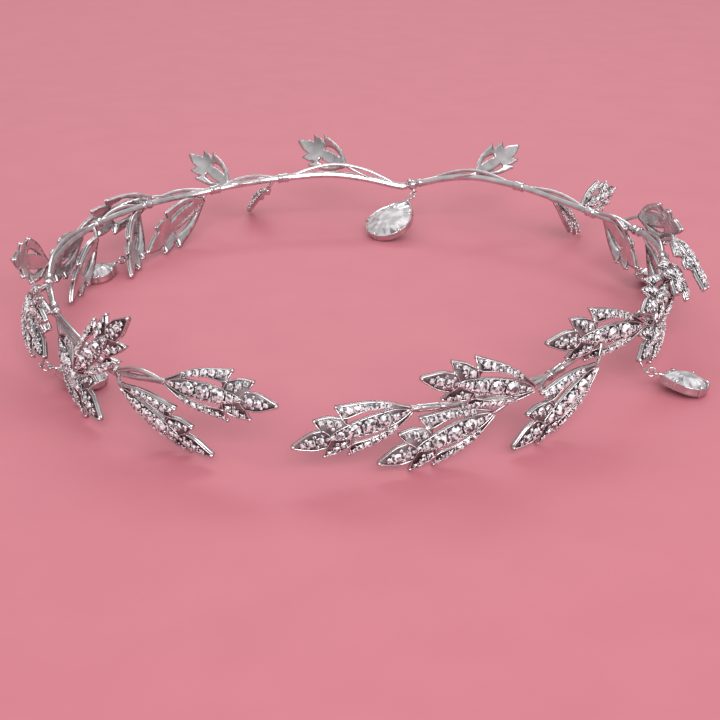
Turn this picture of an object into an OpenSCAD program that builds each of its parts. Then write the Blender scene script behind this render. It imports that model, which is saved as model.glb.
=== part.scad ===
// Crystal crown: an open wreath of pierced silver leaves set with clear stones,
// with five pear-shaped drops. The forehead is at -Y and the opening is at +Y.
// Angles count in degrees from the forehead, positive towards -X, the wearer's right.

/* [Band] */
// Mean radius of the round of stems
band_r = 78; // [74:0.5:82]
// Height of the round of stems above the surface it lies on
band_h = 15; // [15:0.25:17]
// Radius of the main stem's wire at the forehead
stem_r = 1; // [0.8:0.05:1.1]
// Radius of the thinner twin wire above the main stem
twin_r = 0.55; // [0.4:0.05:0.6]
// Radius of the wire that carries each leaf
twig_r = 0.5; // [0.4:0.05:0.6]

/* [Leaves] */
// Length of a full-grown leaf, from its root to its tip
leaf_len = 25.5; // [24:0.1:26]
// Thickness of a leaf's metal
leaf_t = 0.9; // [0.7:0.05:1]
// How far a leaf's sides fall back from its middle
leaf_dome = 2; // [1.2:0.1:2.4]
// How far a leaf bows outward between its root and its tip
leaf_bow = 1.2; // [0.6:0.1:1.6]
// Radius of the three large stones down each leaf's middle
stone_r = 1.35; // [1:0.05:1.4]

/* [Drops] */
// Thickness of a drop's cup, from its back to its edge
cup_h = 2; // [1.6:0.1:2.2]
// Thickness of the cup's wall
cup_wall = 0.4; // [0.3:0.05:0.6]
// Radius of a jump ring, to the middle of its wire
ring_r = 1.05; // [1.05:0.05:1.2]
// Radius of a jump ring's wire
ring_wire = 0.2; // [0.16:0.01:0.2]

/* [Hidden] */
// Place of the round's centre, with the crown's outer box centred on the origin
centre_x = 2;
centre_y = 4.9;
// Clearance between two pieces that meet
gap = 0.15;
// How the round departs from a circle
// Columns: waves round it, cosine part, sine part
ROUND_WAVES = [
    [2, 0.0093, 0.0062],
    [3, -0.0195, 0.0009]
];
// Outline of a leaf, from root to tip, for the full-grown length
// Columns: place along the middle, place and half width at the edge, slit from and to
SPINE = 0;
EDGE_U = 1;
EDGE_V = 2;
SLIT_IN = 3;
SLIT_OUT = 4;
LEAF_ROWS = [
    [0, 0, 0.7, 0, 0],
    [1.5, 2, 1.9, 0, 0],
    [3, 4.5, 3.3, 1.7, 1.7],
    [5.5, 7.5, 4.4, 1.8, 2.6],
    [8.5, 10.5, 5, 1.9, 3.1],
    [11, 14.9, 5.6, 1.7, 2.8],
    [13, 14.2, 3.3, 1.5, 1.5],
    [14.5, 16.9, 4.2, 0, 0],
    [16.5, 20, 4.2, 0, 0],
    [18.3, 19, 2, 0, 0],
    [20, 21.3, 2, 0, 0],
    [23, 23.8, 1.1, 0, 0],
    [25, 25.5, 0.35, 0, 0]
];
// Places of the large stones along a full-grown leaf
STONE_U = [5.8, 9.3, 12.8];
// Course of the round of stems on the wearer's right and left
// Columns: angle, height above the band's level, distance out from the wall
STEM_RIGHT = [
    [0, -3, 0], [2.5, -2.2, 0], [8, 0.4, 0], [16, 2.4, 0], [28, 1.4, 0], [36, 0.2, 0],
    [47, -0.7, 0], [57, -0.1, 0], [66, 1.4, 0], [74, 2, 0], [91, 0.1, -0.5], [103, 0.6, -1.3],
    [114, 1, -1.8], [121, 0.6, -2.6], [128, -1.3, -3.4], [134, -2.2, -2.8], [140, -2.6, -1.4],
    [147, -3.2, -0.6], [157, -2.3, -0.8], [170, -1.6, 0.5]
];
STEM_LEFT = [
    [0, -3, 0], [8, -0.6, 0], [16.5, 1, 0], [25, 0.5, 0], [37, -0.2, 0], [47, -1, 0], [59, -0.5, 0],
    [80, 0, 0], [100, 0.6, 0], [117, 0.2, -0.6], [125, 0.2, -0.5], [137, -1.1, 0], [153, -1.8, 0.2],
    [160, 0.2, 0.4], [170, 0.6, 0.5]
];
// Angle of the front joint, from there to where each side's first stem begins, and of the last joint
FRONT_AT = 2.3;
FRONT_GAP = 1.3;
LAST_JOINT = 160;
// Sprigs, each a casting from one joint to the next
// Columns: name, side, first angle, last angle, rise of the twin wire, its distance out
SPRIGS = [
    ["sprig_right_1", 1, FRONT_GAP + FRONT_AT, 27, 1.9, 0.3],
    ["sprig_right_2", 1, 27, 46, 1.7, 0.4],
    ["sprig_right_3", 1, 46, 62, 1.6, -0.5],
    ["sprig_right_4", 1, 62, 79.5, 1.5, 0.4],
    ["sprig_right_5", 1, 79.5, 109.5, 1.5, -0.3],
    ["sprig_right_6", 1, 109.5, 134, 1.5, -0.5],
    ["sprig_right_7", 1, 134, 157, 1.3, -0.8],
    ["sprig_right_8", 1, 157, 163, 0.3, -0.1],
    ["sprig_left_1", -1, FRONT_GAP - FRONT_AT, 27, 3.2, 0.3],
    ["sprig_left_2", -1, 27, 43, 1.7, 0.4],
    ["sprig_left_3", -1, 43, 60.5, 1.7, 0.4],
    ["sprig_left_4", -1, 60.5, 76, 1.6, 0.3],
    ["sprig_left_5", -1, 76, 110, 1.7, 0],
    ["sprig_left_6", -1, 110, 124, 1.6, -0.3],
    ["sprig_left_7", -1, 124, 149, 1.8, -0.3],
    ["sprig_left_8", -1, 149, 161.6, 1.6, -0.3]
];
// Leaves
// Columns: sprig, root angle, height, distance out, tip angle, height, distance out, roll
LEAVES = [
    ["sprig_right_1", 17.2, 3.7, 0.5, 19.6, 7, 22, 10],
    ["sprig_right_2", 36, -1.2, 0.5, 34.8, -14.1, 15.5, -45],
    ["sprig_right_2", 41.8, -0.9, 2.2, 38.8, -0.3, 22, 20],
    ["sprig_right_3", 49.8, -0.6, 0.5, 67.8, -6.8, -3, 0],
    ["sprig_right_3", 60.6, 4, 1.5, 78.2, 8.5, 3.7, -10],
    ["sprig_right_4", 66.3, -1, 0.3, 73.2, -14.5, 3.4, 0],
    ["sprig_right_4", 78, 6, 2.2, 95.4, 2.1, 9, -45],
    ["sprig_right_5", 84, 1.6, 1, 102.3, 4.1, 4, -45],
    ["sprig_right_5", 92, 1.4, 0.8, 110.6, 2.6, -0.2, -30],
    ["sprig_right_5", 95.5, -3.6, 0, 113, -7.6, 1.2, -20],
    ["sprig_right_6", 115.1, 2.7, 2.6, 135.6, 4.4, -4.2, 0],
    ["sprig_right_6", 128, -1.4, 2, 145.7, -13.1, 3.2, 5],
    ["sprig_right_7", 142, -0.7, 3, 160.1, 5.3, 1.2, 0],
    ["sprig_right_7", 148.4, -5, 1.1, 166.2, -11.9, 3.2, 0],
    ["sprig_right_8", 161.2, -1.7, 0.5, 177.9, -7.8, 4.2, 0],
    ["sprig_left_1", -13.1, 3.5, 0.4, -21.1, 5.7, 21, -25],
    ["sprig_left_2", -30.6, -3.1, 0.4, -31.3, -13.9, 16.4, 40],
    ["sprig_left_2", -39.8, 0.5, 0.5, -41.5, 4.3, 22, 15],
    ["sprig_left_3", -45.9, -3.1, 0.4, -65.6, -11.9, -6.3, 0],
    ["sprig_left_3", -58.9, 1, 0.5, -75.1, -4, 8, 0],
    ["sprig_left_4", -63, -1.5, 0, -76, -14, -10, 0],
    ["sprig_left_5", -79.5, -2.6, 2.5, -97.8, -5, 3, 0],
    ["sprig_left_5", -80.4, -2, -3, -94.4, -13.7, -1.8, 0],
    ["sprig_left_5", -103.9, 2.2, 0.5, -119.9, 11.3, 6.9, 0],
    ["sprig_left_6", -115.5, 0, 4.4, -133, -6, 5.3, 30],
    ["sprig_left_6", -118, 1, 3, -135, 4, 5, 0],
    ["sprig_left_7", -130, -3.4, 0.2, -149.6, -12.2, 4.2, 10],
    ["sprig_left_7", -142.8, -4.3, 3.7, -155.8, 12.8, 1.5, 0],
    ["sprig_left_8", -153.3, -3.1, 2.2, -170.2, -12.6, 2.9, -20],
    ["sprig_left_8", -161.6, 0.4, 0.5, -179.5, -1.1, 0.1, 10]
];
// Drops, each from the middle of its eye to the far side of its round end
// Columns: name, node it hangs on, leaf it hangs on, place along it and across it,
// eye's angle, radius and height, round end's angle, radius and height, width
DROPS = [
    ["front", "front_knot", -1, 0, 0, 2.3, 74, -5, -5.5, 60.5, -13.1, 14.4],
    ["right", "sprig_right_5", 9, 25, 0, 111.8, 80.8, -10.3, 107.8, 91.5, -13, 9.4],
    ["right_temple", "sprig_right_3", 3, 25, 0, 66, 78.6, -9.5, 61, 90, -13, 9.4],
    ["left_temple", "sprig_left_4", 20, 14.9, -5.6, -72.5, 75.5, -12.2, -82, 79.5, -13, 9.4],
    ["left", "sprig_left_6", 24, 25, 0, -130.5, 80.5, -10.2, -135.2, 69.4, -13, 9.4]
];

// Metal and stone colours
silver = [0.78, 0.79, 0.8];
crystal = [0.9, 0.93, 0.96];

// Directions and places
function unit(v) = v / norm(v);
function total(values, i = 0) = i < len(values) ? values[i] + total(values, i + 1) : 0;
function wall(deg) =
    band_r * (1 + total([for (w = ROUND_WAVES) w[1] * cos(w[0] * deg) + w[2] * sin(w[0] * deg)]));
function place(deg, r, z) = [centre_x - r * sin(deg), centre_y - r * cos(deg), band_h + z];
function at(deg, z, out) = place(deg, wall(deg) + out, z);

// One column of a table, smoothed over a few degrees on either side
EASE = 3;
function column(table, c) = [for (row = table) [row[0], row[c]]];
function eased(table, c, x) = (lookup(x - EASE, column(table, c)) + 2 * lookup(x, column(table, c))
    + lookup(x + EASE, column(table, c))) / 4;
function stem_table(deg) = deg < 0 ? STEM_LEFT : STEM_RIGHT;
function stem_at(deg, up = 0, out = 0) =
    at(deg, eased(stem_table(deg), 1, abs(deg)) + up, eased(stem_table(deg), 2, abs(deg)) + out);

// A closed solid round a set of corners
module solid(corners) {
    hull() polyhedron(points = corners, faces = [[for (i = [0:len(corners) - 1]) i]]);
}

// A wire of six sides through a row of points, each with its own radius
WIRE_SIDES = 6;
function direction(path, i) = unit(path[min(i + 1, len(path) - 1)] - path[max(i - 1, 0)]);
function ring_round(p, t, r) =
    let (a = unit(cross(t, [0, 0, 1])), b = cross(a, t))
    [for (k = [0:WIRE_SIDES - 1]) p + r * (a * cos(k * 60) + b * sin(k * 60))];
module wire(path, radii) {
    n = len(path);
    s = WIRE_SIDES;
    points = [for (i = [0:n - 1]) each ring_round(path[i], direction(path, i), radii[i])];
    sides = [for (i = [0:n - 2]) for (k = [0:s - 1])
        let (a = i * s + k, b = i * s + (k + 1) % s) each [[a, b, b + s], [a, b + s, a + s]]];
    polyhedron(points = points, faces = concat([[for (k = [s - 1:-1:0]) k]], sides,
        [[for (k = [0:s - 1]) (n - 1) * s + k]]));
}

// Turns the Z axis to a direction
module aim(p, t) {
    translate(p) rotate([0, acos(t[2]), atan2(t[1], t[0])]) children();
}

// Leaf
// A leaf's frame: root, length direction, outward normal, width direction, length
BASE = 0;
ALONG = 1;
OUTWARD = 2;
ACROSS = 3;
LENGTH = 4;
// Distance from a leaf's middle at which its surface has fallen back by the whole dome
dome_v = 6;
function leaf_frame(row) =
    let (base = at(row[1], row[2], row[3]),
        tip = at(row[4], row[5], row[6]),
        a = unit(tip - base),
        d = (row[1] + row[4]) / 2,
        radial = [-sin(d), -cos(d), 0],
        n = unit(radial - a * (a * radial)),
        w = cross(n, a))
    [base, a, n * cos(row[7]) + w * sin(row[7]), w * cos(row[7]) - n * sin(row[7]), norm(tip - base)];
function leaf_point(f, u, v, h) =
    let (s = f[LENGTH] / leaf_len,
        rise = leaf_bow * (1 - pow(2 * u / leaf_len - 1, 2)) - leaf_dome * pow(v / dome_v, 2))
    f[BASE] + f[ALONG] * u * s + f[ACROSS] * v * s + f[OUTWARD] * (h + rise);
function row_u(row, v) = row[SPINE] + (row[EDGE_U] - row[SPINE]) * v / row[EDGE_V];

// Corners of a row, from its middle to one edge and then the other, on the front and the back
SPOTS = 7;
function row_corners(f, row) =
    [for (h = [leaf_t / 2, -leaf_t / 2]) each concat([leaf_point(f, row[SPINE], 0, h)],
        [for (side = [1, -1]) for (v = [row[SLIT_IN], row[SLIT_OUT], row[EDGE_V]])
            leaf_point(f, row_u(row, v), side * v, h)])];

// Number of a corner: 0 the middle, 1 and 2 the slit's two sides, 3 the edge.
// Where a row has no slit, its sides fall on the middle, and at a slit's end on each other.
function spot(i, side, k, back) =
    let (row = LEAF_ROWS[i],
        open = row[SLIT_OUT] > row[SLIT_IN],
        k1 = k == 3 ? 3 : row[SLIT_IN] == 0 ? 0 : k == 2 && !open ? 1 : k)
    i * 2 * SPOTS + (back ? SPOTS : 0) + (k1 == 0 || side > 0 ? k1 : k1 + 3);
function two_triangles(a, b, c, d, turn) =
    let (q = turn ? [d, c, b, a] : [a, b, c, d])
    [for (t = [[q[0], q[1], q[2]], [q[0], q[2], q[3]]])
        if (t[0] != t[1] && t[1] != t[2] && t[2] != t[0]) t];
function face_between(i, side, from, to, back) =
    two_triangles(spot(i, side, from, back), spot(i, side, to, back), spot(i + 1, side, to, back),
        spot(i + 1, side, from, back), (side < 0) != back);
function wall_between(i, side, k, turn) =
    two_triangles(spot(i, side, k, false), spot(i, side, k, true), spot(i + 1, side, k, true),
        spot(i + 1, side, k, false), (side < 0) != turn);
function end_wall(i, side, turn) =
    two_triangles(spot(i, side, 0, false), spot(i, side, 0, true), spot(i, side, 3, true),
        spot(i, side, 3, false), (side < 0) != turn);
function slit_at(i) = max([for (row = [LEAF_ROWS[i], LEAF_ROWS[i + 1]]) row[SLIT_OUT] - row[SLIT_IN]]) > 0;
LEAF_FACES = [for (side = [1, -1]) each concat(
    [for (i = [0:len(LEAF_ROWS) - 2]) each concat(
        [for (back = [false, true]) each concat(
            face_between(i, side, 0, 1, back),
            face_between(i, side, 2, 3, back))],
        wall_between(i, side, 3, false),
        slit_at(i) ? concat(wall_between(i, side, 1, false), wall_between(i, side, 2, true)) : [])],
    end_wall(0, side, false),
    end_wall(len(LEAF_ROWS) - 1, side, true))];
module leaf(row) {
    f = leaf_frame(row);
    polyhedron(points = [for (r = LEAF_ROWS) each row_corners(f, r)], faces = LEAF_FACES);
}

// The wire from the main stem to a leaf's root, and a little way into the leaf
TWIG_BACK = 8;
START_BACK = 1.5;
twig_in = 1.2;
twig_lead = 3;
function twig_start(s, row) = s[1] * max(s[2] + START_BACK, abs(row[1]) - TWIG_BACK);
module twig(s, row) {
    f = leaf_frame(row);
    start = twig_start(s, row);
    a = stem_at(start);
    reach = norm(f[BASE] - a) / 3;
    b = a + reach * unit(stem_at(start + s[1]) - a);
    c = f[BASE] - f[ALONG] * min(reach, twig_lead);
    d = leaf_point(f, twig_in, 0, 0);
    wire([for (t = [0:0.2:1]) bend(a, b, c, d, t)], [for (t = [0:0.2:1]) twig_r]);
}
function bend(a, b, c, d, t) =
    pow(1 - t, 3) * a + 3 * pow(1 - t, 2) * t * b + 3 * (1 - t) * t * t * c + pow(t, 3) * d;

// Sprig: stem, twin wire, joint, twigs and leaves in one casting
STEM_TAPER = 0.4;
JOINT_SIDES = 8;
JOINT_WALL = 0.25;
joint_len = 3.2;
joint_ahead = 0.4;
STEP = 3.6;
function steps(a, b) = let (n = max(2, ceil((b - a) / STEP))) [for (i = [0:n]) a + (b - a) * i / n];
function thickness(x) = stem_r * (1 - STEM_TAPER * x / LAST_JOINT);
module stem(s) {
    first = abs(s[1] * s[2] - FRONT_AT) < 2 * FRONT_GAP;
    jointed = s[3] < LAST_JOINT;
    start = first ? s[2] : s[2] + 2 * gap / band_r * 180 / PI;
    angles = steps(start, s[3]);
    path = [for (x = angles) stem_at(s[1] * x)];
    wire(path, [for (x = angles) thickness(x)]);
    if (jointed) {
        joint(s);
    }
}
module joint(s) {
    p = stem_at(s[1] * s[3]);
    t = unit(stem_at(s[1] * (s[3] + 1)) - stem_at(s[1] * (s[3] - 1)));
    bore = (thickness(s[3]) + gap) / cos(180 / JOINT_SIDES);
    difference() {
        aim(p + t * joint_ahead, t)
            cylinder(r = bore + JOINT_WALL, h = joint_len, center = true, $fn = JOINT_SIDES);
        aim(p + t * gap, t) cylinder(r = bore, h = joint_len, $fn = JOINT_SIDES);
    }
}
module twin(s) {
    angles = steps(s[2] + START_BACK, s[3] - 1);
    n = len(angles) - 1;
    rise = [for (i = [0:n]) sin(180 * i / n)];
    wire([for (i = [0:n]) stem_at(s[1] * angles[i], s[4] * rise[i], s[5] * rise[i])],
        [for (i = [0:n]) twin_r]);
}
module sprig(s) {
    color(silver) {
        stem(s);
        twin(s);
        for (row = LEAVES) {
            if (row[0] == s[0]) {
                twig(s, row);
                leaf(row);
            }
        }
        for (d = DROPS) {
            if (d[1] == s[0]) {
                hanger(d);
            }
        }
    }
}

// Large stones, eight-sided with a table, just clear of the leaf they sit on
STONE_SIDES = 8;
girdle_up = 0.5;
table_up = 0.95;
table_part = 0.58;
module stone(f, u) {
    s = f[LENGTH] / leaf_len;
    r = stone_r * s;
    foot = leaf_point(f, u, 0, leaf_t / 2 + gap);
    girdle = foot + f[OUTWARD] * girdle_up * r;
    table = foot + f[OUTWARD] * table_up * r;
    sides = [for (k = [0:STONE_SIDES - 1]) let (q = (k + 0.5) * 360 / STONE_SIDES)
        (f[ALONG] * cos(q) + f[ACROSS] * sin(q)) * r];
    solid(concat([foot], [for (d = sides) girdle + d], [for (d = sides) table + d * table_part]));
}
module leaf_stones(side) {
    color(crystal) {
        for (row = LEAVES) {
            if (row[1] * side > 0) {
                for (u = STONE_U) {
                    stone(leaf_frame(row), u);
                }
            }
        }
    }
}

// Front joint: a ball between the ends of the two sides, with an eye for the drop below it
front_r = 1.6;
module front_knot() {
    color(silver) {
        translate(stem_at(FRONT_AT)) sphere(r = front_r, $fn = 32);
        hanger(DROPS[0]);
    }
}

// Drops
// A drop's frame: middle of its eye, length direction, width direction, face direction, length
function drop_frame(d) =
    let (eye = place(d[5], d[6], d[7]),
        end = place(d[8], d[9], d[10]),
        a = unit(end - eye),
        w = unit(cross([0, 0, 1], a)))
    [eye, a, w, cross(a, w), norm(end - eye)];
module in_drop(d) {
    f = drop_frame(d);
    multmatrix([
        [f[1][0], f[2][0], f[3][0], f[0][0]],
        [f[1][1], f[2][1], f[3][1], f[0][1]],
        [f[1][2], f[2][2], f[3][2], f[0][2]],
        [0, 0, 0, 1]
    ]) children();
}
eye_r = 0.65;
eye_wire = 0.22;
neck = 1.1;
// How much faster the point draws in than the sides
point_draw = 1.7;
PEAR_STEPS = 6;
// Pear outline, its point at the neck, drawn in from the cup's outer edge
function pear(d, inset) =
    let (r = d[11] / 2 - inset,
        far = drop_frame(d)[4] - inset,
        middle = far - r,
        point = neck + inset * point_draw,
        open = acos(r / (middle - point)))
    concat([[point, 0]], [for (k = [-PEAR_STEPS:PEAR_STEPS]) let (q = k / PEAR_STEPS * (180 - open))
        [middle + r * cos(q), r * sin(q)]]);
// Levels of the cut stone: the share of the width by which it draws in, and the height
DROP_LEVELS = [[0.22, -cup_h + 0.35], [0, -0.25], [0.17, 1.1]];
stone_gap = 0.1;
module drop_stone(d) {
    color(crystal) in_drop(d) solid([for (level = DROP_LEVELS)
        for (p = pear(d, cup_wall + stone_gap + d[11] * level[0])) [p[0], p[1], level[1]]]);
}
// Prongs round the cup, by the corner of its outline that each one stands at
PRONGS = [1, 4, 7, 10, 13];
prong_r = 0.45;
prong_foot = 0.2;
prong_up = 0.5;
module drop_setting(d) {
    color(silver) in_drop(d) {
        translate([0, 0, -cup_h]) linear_extrude(cup_h) difference() {
            polygon(pear(d, 0));
            polygon(pear(d, cup_wall));
        }
        for (k = PRONGS) {
            p = pear(d, 0)[k];
            translate([p[0], p[1], prong_foot - cup_h])
                cylinder(r = prong_r, h = cup_h + prong_up, $fn = 8);
        }
        translate([eye_r, 0, 0]) rotate([0, 90, 0])
            cylinder(r = eye_wire, h = neck - eye_r + cup_wall, $fn = 16);
        rotate_extrude($fn = 32) translate([eye_r, 0]) circle(r = eye_wire, $fn = 16);
    }
}
// Where a drop hangs: the middle of the front joint, or a place on a leaf
function hold_point(d) = d[2] < 0
    ? stem_at(FRONT_AT)
    : leaf_point(leaf_frame(LEAVES[d[2]]), d[3], d[4], 0);
function ring_dir(d) = -drop_frame(d)[1];
function ring_side(d) = drop_frame(d)[2];
// The upper eye stands a ring's width behind the drop's own eye
function upper_eye(d) = drop_frame(d)[0] + 2 * ring_r * ring_dir(d);
module hanger(d) {
    e = upper_eye(d);
    h = hold_point(d);
    axis = drop_frame(d)[3];
    start = e + unit(h - e - axis * ((h - e) * axis)) * eye_r;
    aim(e, axis) rotate_extrude($fn = 12) translate([eye_r, 0]) circle(r = eye_wire, $fn = 6);
    aim(start, unit(h - start)) cylinder(r = eye_wire, h = norm(h - start) + twig_in / 4, $fn = 6);
}
module drop_ring(d) {
    color(silver) aim(drop_frame(d)[0] + ring_r * ring_dir(d), ring_side(d))
        rotate_extrude($fn = 32) translate([ring_r, 0]) circle(r = ring_wire, $fn = 16);
}

for (s = SPRIGS) {
    sprig(s);
}
front_knot();
leaf_stones(1);  // leaf_stones_right
leaf_stones(-1);  // leaf_stones_left
for (d = DROPS) {
    drop_ring(d);
    drop_setting(d);
    drop_stone(d);
}
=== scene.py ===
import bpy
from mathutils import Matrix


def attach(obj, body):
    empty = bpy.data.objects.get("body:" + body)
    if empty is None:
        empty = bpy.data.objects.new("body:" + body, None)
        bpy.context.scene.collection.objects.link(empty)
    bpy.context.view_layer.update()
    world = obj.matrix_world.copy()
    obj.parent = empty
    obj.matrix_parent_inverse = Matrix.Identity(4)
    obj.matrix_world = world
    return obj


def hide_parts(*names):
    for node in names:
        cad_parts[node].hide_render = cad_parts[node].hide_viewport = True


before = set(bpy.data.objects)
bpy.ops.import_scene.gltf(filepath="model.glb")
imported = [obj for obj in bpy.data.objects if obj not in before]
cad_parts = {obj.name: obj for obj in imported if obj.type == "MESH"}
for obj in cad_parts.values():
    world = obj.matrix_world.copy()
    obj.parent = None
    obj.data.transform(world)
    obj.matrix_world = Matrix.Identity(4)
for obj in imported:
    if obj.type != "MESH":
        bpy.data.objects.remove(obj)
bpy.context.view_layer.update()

import math
import random
from collections import namedtuple

import bpy
import numpy as np
from mathutils import Vector
from mathutils.geometry import delaunay_2d_cdt

# Sizes are in millimetres until a piece is made, and in metres for the materials, the
# floor, the lights and the camera. Angles in the tables are in degrees from the
# forehead, positive towards the wearer's right.

# Round of the stems: mean radius, height and middle
BAND_R = 78
BAND_H = 15
CENTRE = (2, 4.9)
# How it departs from a circle: waves round it, cosine part, sine part
ROUND_WAVES = [(2, 0.0093, 0.0062), (3, -0.0195, 0.0009)]

# Course of the stems: angle, height, distance out from the wall
STEM_RIGHT = [
    (0, -3, 0), (2.5, -2.2, 0), (8, 0.4, 0), (16, 2.4, 0), (28, 1.4, 0), (36, 0.2, 0),
    (47, -0.7, 0), (57, -0.1, 0), (66, 1.4, 0), (74, 2, 0), (91, 0.1, -0.5),
    (103, 0.6, -1.3), (114, 1, -1.8), (121, 0.6, -2.6), (128, -1.3, -3.4),
    (134, -2.2, -2.8), (140, -2.6, -1.4), (147, -3.2, -0.6), (157, -2.3, -0.8),
    (170, -1.6, 0.5),
]
STEM_LEFT = [
    (0, -3, 0), (8, -0.6, 0), (16.5, 1, 0), (25, 0.5, 0), (37, -0.2, 0), (47, -1, 0),
    (59, -0.5, 0), (80, 0, 0), (100, 0.6, 0), (117, 0.2, -0.6), (125, 0.2, -0.5),
    (137, -1.1, 0), (153, -1.8, 0.2), (160, 0.2, 0.4), (170, 0.6, 0.5),
]
# Degrees to each side over which that course is evened out
STEM_EASE = 3

# Main stem: radius at the forehead, part of it lost by the last joint, that joint's
# angle, lean of the stem's flattened sides, and degrees between two rows of its points
STEM_R = 1
STEM_TAPER = 0.4
LAST_JOINT = 160
STEM_LEAN = math.radians(30)
STEM_STEP = 1.1
LEAST_STEPS = 6
# The stem's section: how square it is, and its half thickness as a part of the radius
BAR_POWER = 4
BAR_PART = 0.98
BAR_SIDES = 20

# Twin wire: radius, and degrees from the sprig's two ends to its own
TWIN_R = 0.55
TWIN_FROM = 1.5
TWIN_TO = 1

# Twig: radius, part of it lost at the leaf, degrees that it starts before the leaf's
# root and at least after the sprig's start, its longest reach behind the leaf, and the
# place in the leaf where it ends
TWIG_R = 0.5
TWIG_TAPER = 0.15
TWIG_BEFORE = 8
TWIG_AFTER = 1.5
TWIG_REACH = 3
TWIG_END = 1.2
TWIG_STEPS = 12

# Round ends of a wire: how far they stand out and their radius, as parts of the wire's
END_OUT = 0.6
END_PART = 0.55
# Directions that set where the first side of a wire and of a bead lies
WIRE_GUIDE = (0.13, 0.07, 0.99)
BEAD_GUIDE = (0.31, 0.22, 0.93)
# Bead: sides, and rows of height and width
BEAD_SIDES = 6
BEAD_ROWS = [(-0.9, 0.95), (0.0, 1.0), (0.62, 0.78), (0.92, 0.38)]

# Collar of a joint: space round the stem, half length, half length of the near ones and
# the angle they start at, how far along it stands, and its wall at places from each end
GAP = 0.15
COLLAR_HALF = 1.6
NEAR_COLLAR_HALF = 2.4
NEAR_FROM = 100
COLLAR_AHEAD = 0.3
COLLAR_WALL = [(0, 0.05), (0.1, 0.32), (0.4, 0.4), (0.7, 0.24)]
COLLAR_SIDES = 16
# The sprig whose collar is a plain sleeve: how far along it stands, and its wall's part
SLEEVE_SPRIG = "right_7"
SLEEVE_AHEAD = 2.2
SLEEVE_WALL = 0.3

# Front joint: its angle, and degrees from it to the first stem on each side
FRONT_AT = 2.3
FRONT_GAP = 1.3
# Its balls: angle, height above the stem, distance out, radius
BALLS = [(FRONT_AT, 0, 0, 1.6), (4, 0.3, -0.4, 1.3), (1.7, 1.5, -0.4, 0.8)]
BALL_ROWS = 10
BALL_SIDES = 20

# Sprigs: name, side, first angle, last angle, rise of the twin wire, its distance out
Sprig = namedtuple("Sprig", "name side first last rise out")
SPRIGS = [Sprig(*row) for row in [
    ("right_1", 1, FRONT_GAP + FRONT_AT, 27, 1.9, 0.3),
    ("right_2", 1, 27, 46, 1.7, 0.4),
    ("right_3", 1, 46, 62, 1.6, -0.5),
    ("right_4", 1, 62, 79.5, 1.5, 0.4),
    ("right_5", 1, 79.5, 109.5, 1.5, -0.3),
    ("right_6", 1, 109.5, 134, 1.5, -0.5),
    ("right_7", 1, 134, 157, 1.3, -0.8),
    ("right_8", 1, 157, 163, 0.3, -0.1),
    ("left_1", -1, FRONT_GAP - FRONT_AT, 27, 3.2, 0.3),
    ("left_2", -1, 27, 43, 1.7, 0.4),
    ("left_3", -1, 43, 60.5, 1.7, 0.4),
    ("left_4", -1, 60.5, 76, 1.6, 0.3),
    ("left_5", -1, 76, 110, 1.7, 0),
    ("left_6", -1, 110, 124, 1.6, -0.3),
    ("left_7", -1, 124, 149, 1.8, -0.3),
    ("left_8", -1, 149, 161.6, 1.6, -0.3),
]]

# Leaves: sprig, root angle, height, distance out, tip angle, height, distance out, roll
LeafRow = namedtuple("LeafRow", "sprig deg z out tip_deg tip_z tip_out roll")
LEAVES = [LeafRow(*row) for row in [
    ("right_1", 17.2, 3.7, 0.5, 19.6, 7, 22, 10),
    ("right_2", 36, -1.2, 0.5, 34.8, -14.1, 15.5, -45),
    ("right_2", 41.8, -0.9, 2.2, 38.8, -0.3, 22, 20),
    ("right_3", 49.8, -0.6, 0.5, 67.8, -6.8, -3, 0),
    ("right_3", 60.6, 4, 1.5, 78.2, 8.5, 3.7, -10),
    ("right_4", 66.3, -1, 0.3, 73.2, -14.5, 3.4, 0),
    ("right_4", 78, 6, 2.2, 95.4, 2.1, 9, -45),
    ("right_5", 84, 1.6, 1, 102.3, 4.1, 4, -45),
    ("right_5", 92, 1.4, 0.8, 110.6, 2.6, -0.2, -30),
    ("right_5", 95.5, -3.6, 0, 113, -7.6, 1.2, -20),
    ("right_6", 115.1, 2.7, 2.6, 135.6, 4.4, -4.2, 0),
    ("right_6", 128, -1.4, 2, 145.7, -13.1, 3.2, 5),
    ("right_7", 142, -0.7, 3, 160.1, 5.3, 1.2, 0),
    ("right_7", 148.4, -5, 1.1, 166.2, -11.9, 3.2, 0),
    ("right_8", 161.2, -1.7, 0.5, 177.9, -7.8, 4.2, 0),
    ("left_1", -13.1, 3.5, 0.4, -21.1, 5.7, 21, -25),
    ("left_2", -30.6, -3.1, 0.4, -31.3, -13.9, 16.4, 40),
    ("left_2", -39.8, 0.5, 0.5, -41.5, 4.3, 22, 15),
    ("left_3", -45.9, -3.1, 0.4, -65.6, -11.9, -6.3, 0),
    ("left_3", -58.9, 1, 0.5, -75.1, -4, 8, 0),
    ("left_4", -63, -1.5, 0, -76, -14, -10, 0),
    ("left_5", -79.5, -2.6, 2.5, -97.8, -5, 3, 0),
    ("left_5", -80.4, -2, -3, -94.4, -13.7, -1.8, 0),
    ("left_5", -103.9, 2.2, 0.5, -119.9, 11.3, 6.9, 0),
    ("left_6", -115.5, 0, 4.4, -133, -6, 5.3, 30),
    ("left_6", -118, 1, 3, -135, 4, 5, 0),
    ("left_7", -130, -3.4, 0.2, -149.6, -12.2, 4.2, 10),
    ("left_7", -142.8, -4.3, 3.7, -155.8, 12.8, 1.5, 0),
    ("left_8", -153.3, -3.1, 2.2, -170.2, -12.6, 2.9, -20),
    ("left_8", -161.6, 0.4, 0.5, -179.5, -1.1, 0.1, 10),
]]

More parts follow.
